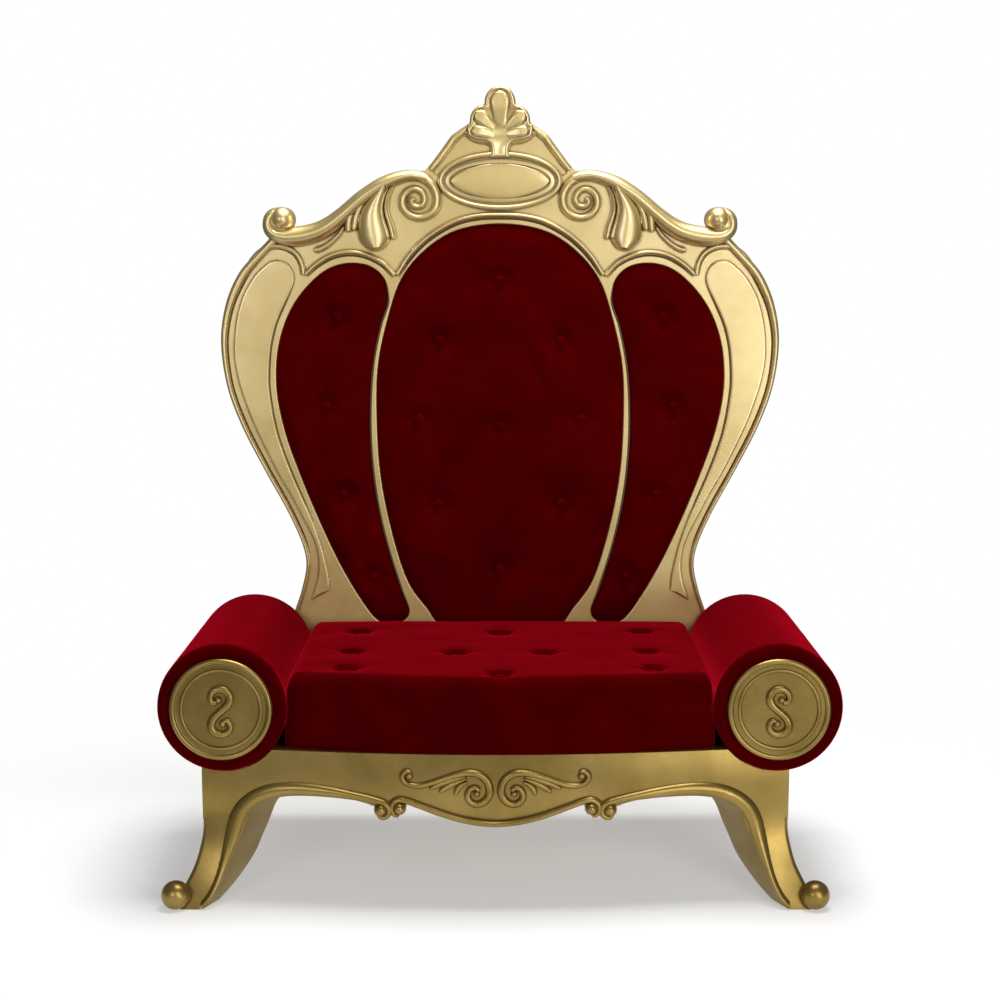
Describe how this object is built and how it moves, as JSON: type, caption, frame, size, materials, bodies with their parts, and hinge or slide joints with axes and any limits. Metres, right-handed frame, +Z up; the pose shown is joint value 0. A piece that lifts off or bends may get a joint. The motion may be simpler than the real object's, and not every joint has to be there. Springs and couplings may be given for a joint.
{
  "type": "throne",
  "caption": "Wide ceremonial throne: carved gilt back with buttoned velvet panels, bolster arms with carved discs, loose seat cushion, bowed carved base on scroll-footed legs.",
  "frame": {"origin": "middle of the bounding box's footprint, on the floor", "axes": "+Z up, +Y from the front to the back, +X to the right as seen from the front"},
  "size_m": [1.372, 0.7579, 1.668],
  "materials": {
    "gilt": "champagne gold leaf on carved wood, satin, brown glaze in the grooves",
    "velvet": "crimson velvet"
  },
  "bodies": {
    "root": {"base_frame": "gilt", "back_frame": "gilt", "arm_disc_left": "gilt", "arm_disc_right": "gilt", "back_pad_centre": "velvet", "back_pad_left": "velvet", "back_pad_right": "velvet", "seat_cushion": "velvet", "arm_bolster_left": "velvet", "arm_bolster_right": "velvet", "back_button_1": "velvet", "back_button_2": "velvet", "back_button_3": "velvet", "back_button_4": "velvet", "back_button_5": "velvet", "back_button_6": "velvet", "back_button_7": "velvet", "back_button_8": "velvet", "back_button_9": "velvet", "back_button_10": "velvet", "back_button_11": "velvet", "back_button_12": "velvet", "back_button_13": "velvet", "back_button_14": "velvet", "back_button_15": "velvet", "back_button_16": "velvet", "back_button_17": "velvet", "seat_button_1": "velvet", "seat_button_2": "velvet", "seat_button_3": "velvet", "seat_button_4": "velvet", "seat_button_5": "velvet", "seat_button_6": "velvet", "seat_button_7": "velvet", "seat_button_8": "velvet", "seat_button_9": "velvet", "seat_button_10": "velvet"}
  },
  "joints": []
}
